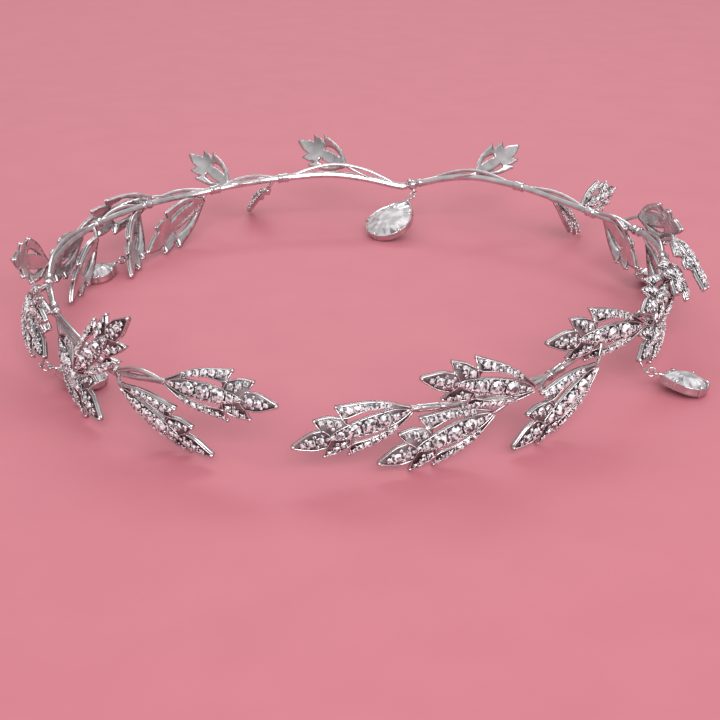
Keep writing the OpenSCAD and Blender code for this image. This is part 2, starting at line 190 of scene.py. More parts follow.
# Leaf: length, thickness, bow of its middle, how far its edges bend back at the half
# width DOME_V, and height of the face that the stones stand on
LEAF_LEN = 25.5
LEAF_T = 0.9
LEAF_BOW = 1.2
LEAF_DOME = 2
DOME_V = 6
FRONT = 0.2
# Outline of a leaf: place along the middle, place and half width at the edge, slit from and to
OutlineRow = namedtuple("OutlineRow", "mid edge half slit_in slit_out")
OUTLINE = [OutlineRow(*row) for row in [
    (0, 0, 0.7, 0, 0),
    (1.5, 2, 1.9, 0, 0),
    (3, 4.5, 3.3, 1.7, 1.7),
    (5.5, 7.5, 4.4, 1.8, 2.6),
    (8.5, 10.5, 5, 1.9, 3.1),
    (11, 14.9, 5.6, 1.7, 2.8),
    (13, 14.2, 3.3, 1.5, 1.5),
    (14.5, 16.9, 4.2, 0, 0),
    (16.5, 20, 4.2, 0, 0),
    (18.3, 19, 2, 0, 0),
    (20, 21.3, 2, 0, 0),
    (23, 23.8, 1.1, 0, 0),
    (25, 25.5, 0.35, 0, 0),
]]
# Rows at which the outline has a corner: lobe tips and the notches between lobes
OUTLINE_CORNERS = [0, 5, 6, 8, 9, 12]
# The rows with a slit
SLIT_ROWS = OUTLINE[2:7]
# Mesh of a leaf's plate: steps of its edges, spacing of the points between them, shift
# of every second row, and the least distance of a point from the edges
EDGE_STEPS = 4
PLATE_STEP = 0.75
ROW_SHIFT = 0.2
EDGE_CLEAR = 0.35

# Rims: radius, and how deep they sit in the plate. The outer one runs just inside the
# outline, and the others, one half of a leaf each, are rows of places along and across.
RIM_R = 0.2
RIM_STEPS = 3
RIM_SIDES = 6
OUTER_INSET = 0.12
OUTER_DEPTH = 0.02
INNER_PART = 0.85
INNER_DEPTH = 0.05
RIMS = [
    [(0.3, 0.2), (1.8, 0.9), (3.8, 1.5), (6.3, 1.68), (9.3, 1.75), (12.2, 1.55),
     (14.5, 1.3), (16.6, 0.8), (18, 0)],
    [(3.8, 1.85), (6.7, 2.75), (9.7, 3.2), (12.9, 2.95), (14.1, 3.2)],
    [(13.8, 1.6), (14, 2.4), (14.3, 3.1)],
    [(18.8, 1.9), (18, 1.1), (17.6, 0.4)],
]
# Beads at the leaf's tip and at the tips of its lobes: radius and place
TIP_BEAD_R = 0.5
TIP_BEAD_BACK = 0.1
LOBE_BEAD_R = 0.42
LOBE_TIPS = [(14.8, 5.4), (19.8, 4.05)]

# Stones of a leaf: place along, place across, radius. Those off the middle stand on both
# sides.
STONES = [
    (1.9, 0, 0.48), (3.5, 0, 0.78), (5.8, 0, 1.58), (9.3, 0, 1.62), (12.8, 0, 1.6),
    (15.5, 0, 0.95), (17.1, 0, 0.58), (18.2, 0, 0.42),
    (7.55, 1.36, 0.44), (11.05, 1.36, 0.44), (14.6, 1.02, 0.36),
    (4.3, 2.45, 0.58), (5.6, 3.0, 0.7), (7.2, 3.45, 0.8), (8.9, 3.82, 0.86),
    (10.6, 4.1, 0.9), (12.4, 4.3, 0.9), (13.95, 4.75, 0.6),
    (15.3, 2.35, 0.74), (16.95, 2.95, 0.82), (18.5, 3.45, 0.56), (16.6, 1.75, 0.4),
    (19.7, 0, 0.88), (21.6, 0, 0.86), (23.3, 0, 0.56), (20.6, 1.12, 0.38),
    (22.4, 0.82, 0.34), (18.9, 1.05, 0.36),
]
# Radius from which a stone has the large prongs, and the one above which it has any
LARGE_R = 1
PRONGED_R = 0.45
# Prongs of a stone: how many, their height, their radius
LARGE_PRONGS = (6, 0.85, 0.26)
SMALL_PRONGS = (4, 0.62, 0.19)
PRONG_CLEAR = 0.02
PRONG_RISE = 1.4
# Facets round a large and a small stone, and the most that one tilts and turns
LARGE_SIDES = 8
SMALL_SIDES = 6
STONE_TILT = 0.07
STONE_TURN = math.pi / 4
# A leaf stone's cut: height of its girdle, then table, crown break and culet from there,
# as parts of its radius, and the table's part of its width
GIRDLE_H = 0.3
TABLE_UP = 0.42
CROWN_UP = 0.27
CULET_DOWN = 0.55
TABLE_PART = 0.55
# Heights of a stone's table, crown break, girdle and culet, and the table's part
Cut = namedtuple("Cut", "table crown girdle culet part")
# Shares of the top facets given a painted glint and painted shade (a dark reflection), and of the
# lower facets given painted shade
PAINTED_GLINT_SHARE = 0.34
PAINTED_DARK_TOP_SHARE = 0.16
PAINTED_SHADE_FACET_SHARE = 0.3

# Drops: name, node it hangs on, leaf or none, place along and across it, eye's angle,
# radius and height, round end's angle, radius and height, width
DropRow = namedtuple("DropRow", "name node leaf u v deg r z end_deg end_r end_z width")
DROPS = [DropRow(*row) for row in [
    ("front", "front_knot", None, 0, 0, 2.3, 74, -5, -5.5, 60.5, -13.1, 14.4),
    ("right", "right_5", 9, 25, 0, 111.8, 80.8, -10.3, 107.8, 91.5, -13, 9.4),
    ("right_temple", "right_3", 3, 25, 0, 66, 78.6, -9.5, 61, 90, -13, 9.4),
    ("left_temple", "left_4", 20, 14.9, -5.6, -72.5, 75.5, -12.2, -82, 79.5, -13, 9.4),
    ("left", "left_6", 24, 25, 0, -130.5, 80.5, -10.2, -135.2, 69.4, -13, 9.4),
]]
# Jump ring's radius, radius and wire of the eyes on each side of it
RING_R = 1.05
EYE_R = 0.65
EYE_WIRE = 0.22
EYE_STEPS = 24
EYE_SIDES = 8
# Pear: its point's place, how much faster that draws back with the inset, the flanks'
# share of the way round, their bulge as a part of the width and how far it moves them
NECK = 1.1
POINT_DRAW = 1.7
FLANK = 0.42
BULGE = 0.035
BULGE_BACK = 0.35
# Cup: depth and wall, rows of inset and height round its section, and steps round it
CUP_H = 2
CUP_WALL = 0.4
CUP_STEPS = 64
CUP_SECTION = [
    (0.0, -CUP_H + 0.25), (0.12, -CUP_H + 0.05), (0.3, -CUP_H), (0.52, -CUP_H + 0.1),
    (0.5, -0.2), (0.34, 0.02), (0.14, 0.06), (0.0, -0.08), (0.1, -0.4),
    (0.12, -CUP_H + 0.7),
]
# The cup's prongs: places round it, inset of foot and tip, and rows of the way from
# foot to tip, height and radius
CUP_PRONGS = [0.36, 0.72, 1.0, 1.28, 1.64]
PRONG_INSETS = (0.12, 0.75)
PRONG_ROWS = [(0, -CUP_H + 0.25, 0.42), (0, 0.1, 0.4), (0.2, 0.42, 0.36), (1, 0.62, 0.26)]
# The neck between eye and cup: end's distance and height, and radius there
NECK_REACH = 0.7
NECK_DIP = -0.1
NECK_R = 0.4
# The pear stone: space in the cup, place of its middle as a part of the width, its cut
PEAR_CLEAR = 0.12
PEAR_MIDDLE = 0.56
PEAR_SIDES = 16
PEAR_CUT = Cut(1.2, 0.8, -0.1, -CUP_H + 0.3, 0.45)

# Numbers of the materials in a casting, and in a piece of stones
# PAINTED_RECESS_SHADING is the leaf plate's face under the stones, which gets silver with painted
# shade
BRIGHT, PAINTED_RECESS_SHADING = 0, 1
# PAINTED_SHADE_FACET and PAINTED_DARK_TOP facets carry painted shade, PAINTED_GLINT facets a
# painted glint, and FACE facets painted patches of light and shade
FACE, BACK, PAINTED_SHADE_FACET, PAINTED_GLINT, PAINTED_DARK_TOP = 0, 1, 2, 3, 4

random.seed(7)


# Places and directions
def unit(v):
    return v / np.linalg.norm(v)


def wall(deg):
    a = math.radians(deg)
    return BAND_R * (1 + sum(c * math.cos(n * a) + s * math.sin(n * a) for n, c, s in ROUND_WAVES))


def place(deg, r, z):
    a = math.radians(deg)
    return np.array([CENTRE[0] - r * math.sin(a), CENTRE[1] - r * math.cos(a), BAND_H + z])


def at(deg, z, out):
    return place(deg, wall(deg) + out, z)


def eased(table, column, x):
    xs, ys = [r[0] for r in table], [r[column] for r in table]
    a, b, c = np.interp([x - STEM_EASE, x, x + STEM_EASE], xs, ys)
    return (a + 2 * b + c) / 4


def stem_at(deg, up=0, out=0):
    table = STEM_LEFT if deg < 0 else STEM_RIGHT
    return at(deg, eased(table, 1, abs(deg)) + up, eased(table, 2, abs(deg)) + out)


def stem_radius(x):
    return STEM_R * (1 - STEM_TAPER * x / LAST_JOINT)


def angles(count, shift=0.0):
    """Angles spread evenly round a circle, shifted by a part of one step."""
    return [2 * math.pi * (k + shift) / count for k in range(count)]


def smooth_line(points, steps):
    """A smooth row of places through the given ones."""
    p = [np.array(q, float) for q in points]
    p = [2 * p[0] - p[1]] + p + [2 * p[-1] - p[-2]]
    line = []
    for i in range(1, len(p) - 2):
        for k in range(steps):
            t = k / steps
            line.append(0.5 * (2 * p[i] + (p[i + 1] - p[i - 1]) * t
                               + (2 * p[i - 1] - 5 * p[i] + 4 * p[i + 1] - p[i + 2]) * t * t
                               + (3 * p[i] - p[i - 1] - 3 * p[i + 1] + p[i + 2]) * t ** 3))
    return line + [p[-2]]


def bezier(a, b, c, d, steps):
    """A curve from a to d that leaves towards b and arrives from c."""
    line = []
    for i in range(steps + 1):
        t = i / steps
        line.append((1 - t) ** 3 * a + 3 * (1 - t) ** 2 * t * b
                    + 3 * (1 - t) * t * t * c + t ** 3 * d)
    return line


def tangents_of(path):
    last = len(path) - 1
    return [unit(path[min(i + 1, last)] - path[max(i - 1, 0)]) for i in range(len(path))]


# Meshes
def new_object(name, data):
    obj = bpy.data.objects.new(name, data)
    bpy.context.scene.collection.objects.link(obj)
    return obj


class Shape:
    """The points and faces of one piece, each face with the number of its material."""

    def __init__(self):
        self.points, self.faces, self.marks, self.smooth = [], [], [], []

    def add(self, points, faces, marks=BRIGHT, smooth=True):
        """Add a form; marks is one number for all of its faces, or one for each."""
        n = len(self.points)
        self.points.extend(tuple(p) for p in points)
        self.faces.extend(tuple(i + n for i in f) for f in faces)
        self.marks.extend([marks] * len(faces) if isinstance(marks, int) else marks)
        self.smooth.extend([smooth] * len(faces))

    def piece(self, name, materials, slot, node):
        mesh = bpy.data.meshes.new(name)
        mesh.from_pydata([[c * 0.001 for c in p] for p in self.points], [], self.faces)
        for m in materials:
            mesh.materials.append(m)
        mesh.polygons.foreach_set("material_index", self.marks)
        mesh.polygons.foreach_set("use_smooth", self.smooth)
        mesh.update()
        obj = new_object(name, mesh)
        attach(obj, "root")
        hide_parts(node)


def skin(rows, sides, turned=False):
    """The faces over rows of points round a path, and over its two ends. turned is for
    points that run round it the other way."""
    faces = []
    for i in range(rows - 1):
        for k in range(sides):
            j = (k + 1) % sides
            a, b, c, d = i * sides + k, i * sides + j, (i + 1) * sides + j, (i + 1) * sides + k
            faces.append((a, d, c, b) if turned else (a, b, c, d))
    first = tuple(range(sides))
    last = tuple((rows - 1) * sides + k for k in range(sides))
    return faces + ([first, last[::-1]] if turned else [first[::-1], last])


def tube(shape, path, radii, sides=10, round_ends=True):
    """A round wire along a path, closed at both ends."""
    path = [np.array(p, float) for p in path]
    if np.isscalar(radii):
        radii = [radii] * len(path)
    if round_ends:
        first, last = unit(path[0] - path[1]), unit(path[-1] - path[-2])
        path = ([path[0] + first * radii[0] * END_OUT] + path
                + [path[-1] + last * radii[-1] * END_OUT])
        radii = [radii[0] * END_PART] + list(radii) + [radii[-1] * END_PART]
    tangents = tangents_of(path)
    side = unit(np.cross(tangents[0], WIRE_GUIDE))
    points = []
    for p, t, r in zip(path, tangents, radii):
        side = unit(side - t * (side @ t))
        up = np.cross(t, side)
        points += [p + r * (side * math.cos(a) + up * math.sin(a)) for a in angles(sides)]
    shape.add(points, skin(len(path), sides))


def bar(shape, path, radii, lean):
    """A wire with flattened sides, leaned about its own length by an angle."""
    points = []
    for p, t, r in zip(path, tangents_of(path), radii):
        side = unit(np.cross(t, [0, 0, 1]))
        up = np.cross(side, t)
        for a in angles(BAR_SIDES, 0.5):
            roundness = (math.cos(a) ** BAR_POWER + math.sin(a) ** BAR_POWER) ** (1 / BAR_POWER)
            reach = r * BAR_PART / roundness
            points.append(p + reach * (side * math.cos(a + lean) + up * math.sin(a + lean)))
    shape.add(points, skin(len(path), BAR_SIDES, turned=True))


def bead(shape, centre, normal, r, height=1.0):
    """A low round bead, such as the head of a prong."""
    a = unit(np.cross(normal, BEAD_GUIDE))
    b = np.cross(normal, a)
    points = []
    for up, part in BEAD_ROWS:
        middle = centre + normal * r * height * up
        points += [middle + r * part * (a * math.cos(q) + b * math.sin(q))
                   for q in angles(BEAD_SIDES)]
    shape.add(points, skin(len(BEAD_ROWS), BEAD_SIDES))


def ball(shape, centre, r):
    n = BALL_SIDES
    points = [centre + np.array([0, 0, r])]
    for i in range(1, BALL_ROWS):
        a = math.pi * i / BALL_ROWS
        points += [centre + r * np.array([math.sin(a) * math.cos(b), math.sin(a) * math.sin(b),
                                          math.cos(a)]) for b in angles(n)]
    points.append(centre - np.array([0, 0, r]))
    last = len(points) - 1
    faces = [(0, 1 + k, 1 + (k + 1) % n) for k in range(n)]
    for i in range(BALL_ROWS - 2):
        for k in range(n):
            a, b = 1 + i * n + k, 1 + i * n + (k + 1) % n
            faces.append((a, a + n, b + n, b))
    faces += [(last, last - n + (k + 1) % n, last - n + k) for k in range(n)]
    shape.add(points, faces)


def facet_mark():
    """The look of one facet of a stone's top: most are clear with painted patches, some get a
    painted glint and a few painted shade.
    """
    x = random.random()
    return PAINTED_GLINT if x < PAINTED_GLINT_SHARE else PAINTED_DARK_TOP if x < PAINTED_GLINT_SHARE + PAINTED_DARK_TOP_SHARE else FACE


def cut_stone(shape, centre, axes, outline, sides, cut):
    """A cut stone with a table, a crown of star, kite and girdle facets, and a pavilion.
    outline(q, part) gives a place across the stone at an angle, for a part of its full width."""
    along, across, up = axes

    def ring(count, shift, part, height):
        row = []
        for q in angles(count, shift):
            u, v = outline(q, part)
            row.append(centre + along * u + across * v + up * height)
        return row

    points = ring(sides, 0, cut.part, cut.table)
    points += ring(sides, 0.5, (1 + cut.part) / 2, cut.crown)
    points += ring(2 * sides, 0, 1, cut.girdle)
    points += ring(sides, 0.5, 0.5, (cut.girdle + cut.culet) / 2)
    u, v = outline(0, 0)
    points.append(centre + along * u + across * v + up * cut.culet)
    table, crown, girdle, low, culet = (n * sides for n in (0, 1, 2, 4, 5))
    faces, marks = [tuple(table + k for k in range(sides))], [FACE]
    for k in range(sides):
        after, before = (k + 1) % sides, (k - 1) % sides
        g, g1, g2 = (girdle + (2 * k + n) % (2 * sides) for n in (0, 1, 2))
        faces += [
            (table + k, crown + k, table + after),
            (table + k, crown + before, g, crown + k),
            (g, g1, crown + k),
            (g1, g2, crown + k),
            (low + k, g1, g),
            (low + k, g2, g1),
            (low + k, g, low + before),
            (low + before, culet, low + k),
        ]
        # Lower facets: mirror foil, with every third one and some at random given painted shade, a
        # dark reflection
        below = PAINTED_SHADE_FACET if random.random() < PAINTED_SHADE_FACET_SHARE else BACK
        marks += [facet_mark() for _ in range(4)]
        marks += [BACK, PAINTED_SHADE_FACET if k % 3 == 1 else BACK, BACK, below]
    shape.add(points, faces, marks, smooth=False)


# Leaves
def half_outline(steps):
    edge = [(r.edge, r.half) for r in OUTLINE]
    line = []
    for a, b in zip(OUTLINE_CORNERS, OUTLINE_CORNERS[1:]):
        run = smooth_line(edge[a:b + 1], steps)
        line += run if not line else run[1:]
    return line


def slit_side(column):
    """One side of the slit, at the places across that a column of the outline gives."""
    line = []
    for row in SLIT_ROWS:
        v = getattr(row, column)
        line.append((row.mid + (row.edge - row.mid) * v / row.half, v))
    return smooth_line(line, EDGE_STEPS)


def inside(p, loop):
    hit = False
    for (x1, y1), (x2, y2) in zip(loop, loop[1:] + loop[:1]):
        if (y1 > p[1]) != (y2 > p[1]) and p[0] < x1 + (p[1] - y1) / (y2 - y1) * (x2 - x1):
            hit = not hit
    return hit


def leaf_plate():
    """The flat mesh of a leaf: its points, its triangles and the edges round it."""
    half = [tuple(p) for p in half_outline(EDGE_STEPS)]
    slit = [tuple(p) for p in slit_side("slit_in") + slit_side("slit_out")[-2:0:-1]]
    loops = [half + [(u, -v) for u, v in half[::-1]], slit, [(u, -v) for u, v in slit[::-1]]]
    points, edges = [], []
    for loop in loops:
        n = len(points)
        points += loop
        edges += [(n + i, n + (i + 1) % len(loop)) for i in range(len(loop))]

    def in_plate(p):
        return inside(p, loops[0]) and not inside(p, loops[1]) and not inside(p, loops[2])

    rim = list(points)
    side_rows = int(DOME_V / PLATE_STEP)
    for i in range(1, int(LEAF_LEN / PLATE_STEP)):
        for j in range(-side_rows, side_rows + 1):
            p = (i * PLATE_STEP, j * PLATE_STEP + (ROW_SHIFT if i % 2 else 0))
            near = min(math.hypot(p[0] - q[0], p[1] - q[1]) for q in rim)
            if near > EDGE_CLEAR and in_plate(p):
                points.append(p)
    made, _, faces, _, _, _ = delaunay_2d_cdt([Vector(p) for p in points], edges, [], 0, 1e-6)
    made = [(p[0], p[1]) for p in made]
    kept = []
    for f in faces:
        if in_plate((sum(made[i][0] for i in f) / 3, sum(made[i][1] for i in f) / 3)):
            kept.append(tuple(f))
    sides = [(a, b) for f in kept for a, b in zip(f, f[1:] + f[:1])]
    known = set(sides)
    return made, kept, [(a, b) for a, b in sides if (b, a) not in known]


class Leaf:
    """The place and turn of one leaf."""

    def __init__(self, row):
        self.base = at(row.deg, row.z, row.out)
        tip = at(row.tip_deg, row.tip_z, row.tip_out)
        self.along = unit(tip - self.base)
        d = math.radians((row.deg + row.tip_deg) / 2)
        radial = np.array([-math.sin(d), -math.cos(d), 0])
        n = unit(radial - self.along * (self.along @ radial))
        w = np.cross(n, self.along)
        c, s = math.cos(math.radians(row.roll)), math.sin(math.radians(row.roll))
        self.out = n * c + w * s
        self.across = w * c - n * s
        self.scale = float(np.linalg.norm(tip - self.base)) / LEAF_LEN

    def point(self, u, v, h=0.0):
        rise = LEAF_BOW * (1 - (2 * u / LEAF_LEN - 1) ** 2) - LEAF_DOME * (v / DOME_V) ** 2
        return self.base + (self.along * u + self.across * v) * self.scale + self.out * (h + rise)

    def normal(self, u, v):
        lean = 4 * LEAF_BOW / LEAF_LEN * (2 * u / LEAF_LEN - 1)
        return unit(self.out + self.across * (2 * LEAF_DOME * v / DOME_V ** 2) + self.along * lean)


PLATE_POINTS, PLATE_FACES, PLATE_BORDER = leaf_plate()
# Places, across included, and radii of all stones of a leaf
ALL_STONES = [(u, side * v, r) for u, v, r in STONES for side in ((1, -1) if v else (1,))]


def leaf_metal(shape, leaf):
    """One leaf's pierced plate, rims, prongs and beads."""
    n = len(PLATE_POINTS)
    front = [leaf.point(u, v, FRONT) for u, v in PLATE_POINTS]
    back = [leaf.point(u, v, -LEAF_T / 2) for u, v in PLATE_POINTS]
    rest = [tuple(i + n for i in f[::-1]) for f in PLATE_FACES]
    rest += [(b, a, a + n, b + n) for a, b in PLATE_BORDER]
    # The plate's front faces, between the stones, get the darker silver: painted shade of the
    # recess
    shape.add(front + back, PLATE_FACES + rest, [PAINTED_RECESS_SHADING] * len(PLATE_FACES) + [BRIGHT] * len(rest))
    for side in (1, -1):
        line = [leaf.point(u, side * (v - OUTER_INSET), LEAF_T / 2 - OUTER_DEPTH)
                for u, v in half_outline(RIM_STEPS)]
        tube(shape, line, RIM_R, RIM_SIDES)
        for rim in RIMS:
            line = [leaf.point(u, side * v, LEAF_T / 2 - INNER_DEPTH)
                    for u, v in smooth_line(rim, RIM_STEPS)]
            tube(shape, line, RIM_R * INNER_PART, RIM_SIDES)
    for u, v, r in ALL_STONES:
        if r > PRONGED_R:
            count, height, prong_r = SMALL_PRONGS if r < LARGE_R else LARGE_PRONGS
            reach = r + PRONG_CLEAR
            for q in angles(count, 0.5):
                p = leaf.point(u + reach * math.cos(q), v + reach * math.sin(q), height)
                bead(shape, p, leaf.normal(u, v), prong_r, PRONG_RISE)
    bead(shape, leaf.point(LEAF_LEN - TIP_BEAD_BACK, 0, LEAF_T / 2), leaf.out, TIP_BEAD_R)
    for side in (1, -1):
        for u, v in LOBE_TIPS:
            bead(shape, leaf.point(u, side * v, LEAF_T / 2), leaf.normal(u, side * v), LOBE_BEAD_R)


def leaf_stones(shape, leaf):
    """One leaf's stones, each turned and tilted a little its own way."""
    for u, v, r in ALL_STONES:
        tilt = (leaf.along * random.uniform(-STONE_TILT, STONE_TILT)
                + leaf.across * random.uniform(-STONE_TILT, STONE_TILT))
        up = unit(leaf.normal(u, v) + tilt)
        a = unit(np.cross(up, leaf.across))
        b = np.cross(up, a)
        turn = random.uniform(0, STONE_TURN)
        along = a * math.cos(turn) + b * math.sin(turn)
        across = b * math.cos(turn) - a * math.sin(turn)
        size = r * leaf.scale

        def outline(q, part, size=size):
            return size * part * math.cos(q), size * part * math.sin(q)

        cut = Cut(TABLE_UP * size + GIRDLE_H, CROWN_UP * size + GIRDLE_H, GIRDLE_H,
                  GIRDLE_H - CULET_DOWN * size, TABLE_PART)
        cut_stone(shape, leaf.point(u, v, FRONT + GAP), (along, across, up), outline,
                  SMALL_SIDES if r < LARGE_R else LARGE_SIDES, cut)


# Sprigs
def twig(shape, sprig, row, leaf):
    """The wire from a sprig's stem to the root of a leaf."""
    start = sprig.side * max(sprig.first + TWIG_AFTER, abs(row.deg) - TWIG_BEFORE)
    a = stem_at(start)
    reach = np.linalg.norm(leaf.base - a) / 3
    b = a + reach * unit(stem_at(start + sprig.side) - a)
    c = leaf.base - leaf.along * min(reach, TWIG_REACH)
    path = bezier(a, b, c, leaf.point(TWIG_END, 0), TWIG_STEPS)
    tube(shape, path, [TWIG_R * (1 - TWIG_TAPER * i / TWIG_STEPS) for i in range(TWIG_STEPS + 1)])


def joint(shape, sprig):
    """The collar that the next stem's end sits in, with a rolled edge at each end."""
    x = sprig.last
    p = stem_at(sprig.side * x)
    t = unit(stem_at(sprig.side * (x + 1)) - stem_at(sprig.side * (x - 1)))
    half = COLLAR_HALF if x < NEAR_FROM else NEAR_COLLAR_HALF
    ahead, part = COLLAR_AHEAD, 1
    if sprig.name == SLEEVE_SPRIG:
        ahead, part = SLEEVE_AHEAD, SLEEVE_WALL
    rows = [(-half + s, wall_r) for s, wall_r in COLLAR_WALL]
    rows += [(half - s, wall_r) for s, wall_r in COLLAR_WALL[::-1]]
    inner = stem_radius(x) + GAP
    tube(shape, [p + t * (s + ahead) for s, _ in rows],
         [inner + wall_r * part for _, wall_r in rows], COLLAR_SIDES, round_ends=False)


def sprig_metal(sprig):
    """One casting: main stem, twin wire, collar, twigs and leaves, and its drop's eye."""
    shape = Shape()
    span = sprig.last - sprig.first
    count = max(LEAST_STEPS, int(span / STEM_STEP))
    steps = range(count + 1)
    xs = [sprig.first + span * i / count for i in steps]
    bar(shape, [stem_at(sprig.side * x) for x in xs], [stem_radius(x) for x in xs],
        sprig.side * STEM_LEAN)
    if sprig.last < LAST_JOINT:
        joint(shape, sprig)
    # A twin wire that rises less than its own radius lies inside the stem
    if sprig.rise > TWIN_R:
        twin = []
        for i in steps:
            x = sprig.first + TWIN_FROM + (span - (TWIN_FROM + TWIN_TO)) * i / count
            k = math.sin(math.pi * i / count)
            twin.append(stem_at(sprig.side * x, sprig.rise * k, sprig.out * k))
        tube(shape, twin, TWIN_R)
    for row in LEAVES:
        if row.sprig == sprig.name:
            leaf = Leaf(row)
            twig(shape, sprig, row, leaf)
            leaf_metal(shape, leaf)
    for row in DROPS:
        if row.node == sprig.name:
            hanger(shape, row)
    return shape


# Drops
class Drop:
    """The place and turn of one drop, from the middle of its eye."""

    def __init__(self, row):
        self.eye = place(row.deg, row.r, row.z)
        end = place(row.end_deg, row.end_r, row.end_z)
        self.along = unit(end - self.eye)
        self.across = unit(np.cross([0, 0, 1], self.along))
        self.up = np.cross(self.along, self.across)
        self.length = float(np.linalg.norm(end - self.eye))
        self.width = row.width

    def point(self, u, v, h=0.0):
        return self.eye + self.along * u + self.across * v + self.up * h

    def pear(self, q, inset):
        """A place on the pear's outline; q runs round from the point and back to it."""
        r = self.width / 2 - inset
        middle = self.length - inset - r
        point = NECK + inset * POINT_DRAW
        opening = math.acos(max(-1, min(1, r / (middle - point))))
        turn = (q / math.pi) % 2
        if turn < FLANK or turn > 2 - FLANK:
            side = 1 if turn < FLANK else -1
            t = (turn if turn < FLANK else 2 - turn) / FLANK
            u = middle + r * math.cos(math.pi - opening)
            v = side * r * math.sin(math.pi - opening)
            bulge = BULGE * self.width * math.sin(math.pi * t)
            return point + (u - point) * t - bulge * BULGE_BACK, v * t + side * bulge
        t = (turn - FLANK) / (2 - 2 * FLANK)
        a = (math.pi - opening) * (1 - 2 * t)
        return middle + r * math.cos(a), r * math.sin(a)


def eye_ring(shape, drop, middle):
    """A wire eye that lies in the drop's plane."""
    ring = []
    for i in range(EYE_STEPS + 1):
        q = 2 * math.pi * i / EYE_STEPS
        ring.append(middle + EYE_R * (drop.along * math.cos(q) + drop.across * math.sin(q)))
    tube(shape, ring, EYE_WIRE, EYE_SIDES, round_ends=False)


def hanger(shape, row):
    """The eye that a drop's jump ring hangs in, and the wire that holds it."""
    drop = Drop(row)
    eye = drop.eye - 2 * RING_R * drop.along
    hold = stem_at(FRONT_AT) if row.leaf is None else Leaf(LEAVES[row.leaf]).point(row.u, row.v)
    away = hold - eye
    start = eye + unit(away - drop.up * (away @ drop.up)) * EYE_R
    eye_ring(shape, drop, eye)
    tube(shape, [start, start * 0.5 + hold * 0.5, hold], EYE_WIRE, EYE_SIDES)


def drop_setting(row):
    """A pear-shaped cup with a rolled edge, prongs and an eye."""
    drop = Drop(row)
    shape = Shape()
    points = []
    for q in angles(CUP_STEPS):
        points += [drop.point(*drop.pear(q, inset), h) for inset, h in CUP_SECTION]
    m = len(CUP_SECTION)
    faces = []
    for k in range(CUP_STEPS):
        here, after = k * m, (k + 1) % CUP_STEPS * m
        for i in range(m):
            j = (i + 1) % m
            faces.append((here + i, here + j, after + j, after + i))
    shape.add(points, faces)
    for q in CUP_PRONGS:
        foot, tip = (drop.pear(math.pi * q, inset) for inset in PRONG_INSETS)
        path = [drop.point(foot[0] * (1 - t) + tip[0] * t, foot[1] * (1 - t) + tip[1] * t, h)
                for t, h, _ in PRONG_ROWS]
        tube(shape, path, [r for _, _, r in PRONG_ROWS], EYE_SIDES)
    tube(shape, [drop.point(EYE_R, 0), drop.point(NECK + NECK_REACH, 0, NECK_DIP)],
         [EYE_WIRE, NECK_R])
    eye_ring(shape, drop, drop.eye)
    return shape


def drop_stone(row):
    drop = Drop(row)
    shape = Shape()
    middle = drop.length - drop.width * PEAR_MIDDLE

    def outline(q, part):
        u, v = drop.pear(q, CUP_WALL + PEAR_CLEAR)
        return middle + (u - middle) * part, v * part

    cut_stone(shape, drop.eye, (drop.along, drop.across, drop.up), outline, PEAR_SIDES, PEAR_CUT)
    return shape


# Materials. The scale of a pattern is in repeats a metre.
TINT_SCALE = 260
HAZE_SCALE = 700
GRAIN_SCALE = 1500
GRAIN_DEPTH = 0.0001
TINT_RANGE = (0.3, 0.65)
CRYSTAL_ROUGHNESS = 0.03
FLOOR_SCALE = 60
FLOOR_ROUGHNESS = 0.6


def material(name):
    m = bpy.data.materials.new(name)
    m.use_nodes = True
    nodes = m.node_tree.nodes
    return m, nodes, m.node_tree.links, nodes["Principled BSDF"]


def add_noise(nodes, links, scale, detail=3.0):
    coords = nodes.new("ShaderNodeTexCoord")
    noise = nodes.new("ShaderNodeTexNoise")
    noise.inputs["Scale"].default_value = scale
    noise.inputs["Detail"].default_value = detail
    links.new(coords.outputs["Object"], noise.inputs["Vector"])
    return noise.outputs["Fac"]


def ramp(nodes, links, source, stops):
    node = nodes.new("ShaderNodeValToRGB")
    elements = node.color_ramp.elements
    while len(elements) < len(stops):
        elements.new(0.5)
    for element, (position, colour) in zip(elements, stops):
        element.position = position
        element.color = (*colour, 1)
    links.new(source, node.inputs["Fac"])
    return node.outputs["Color"]


def metal(name, dark, light, rough_low, rough_high, bump):
    """A metal with a mottled tint, hazier patches and a fine grain."""
    m, nodes, links, shader = material(name)
    shader.inputs["Metallic"].default_value = 1.0
    tint = add_noise(nodes, links, TINT_SCALE)
    tinted = ramp(nodes, links, tint, list(zip(TINT_RANGE, (dark, light))))
    links.new(tinted, shader.inputs["Base Color"])
    haze = add_noise(nodes, links, HAZE_SCALE)
    spread = nodes.new("ShaderNodeMapRange")
    spread.inputs["To Min"].default_value = rough_low
    spread.inputs["To Max"].default_value = rough_high
    links.new(haze, spread.inputs["Value"])
    links.new(spread.outputs["Result"], shader.inputs["Roughness"])
    grain = add_noise(nodes, links, GRAIN_SCALE, 2.0)
    bumps = nodes.new("ShaderNodeBump")
    bumps.inputs["Strength"].default_value = bump
    bumps.inputs["Distance"].default_value = GRAIN_DEPTH
    links.new(grain, bumps.inputs["Height"])
    links.new(bumps.outputs["Normal"], shader.inputs["Normal"])
    return m


def crystal(name, scale, stops, clear, ior):
    """A clear stone, with painted patches of light and dark that stand for what its far facets
    send back.
    """
    m, nodes, links, shader = material(name)
    tint = add_noise(nodes, links, scale, 1.0)
    links.new(ramp(nodes, links, tint, stops), shader.inputs["Base Color"])
    shader.inputs["Roughness"].default_value = CRYSTAL_ROUGHNESS
    shader.inputs["IOR"].default_value = ior
    shader.inputs["Transmission Weight"].default_value = clear
    return m


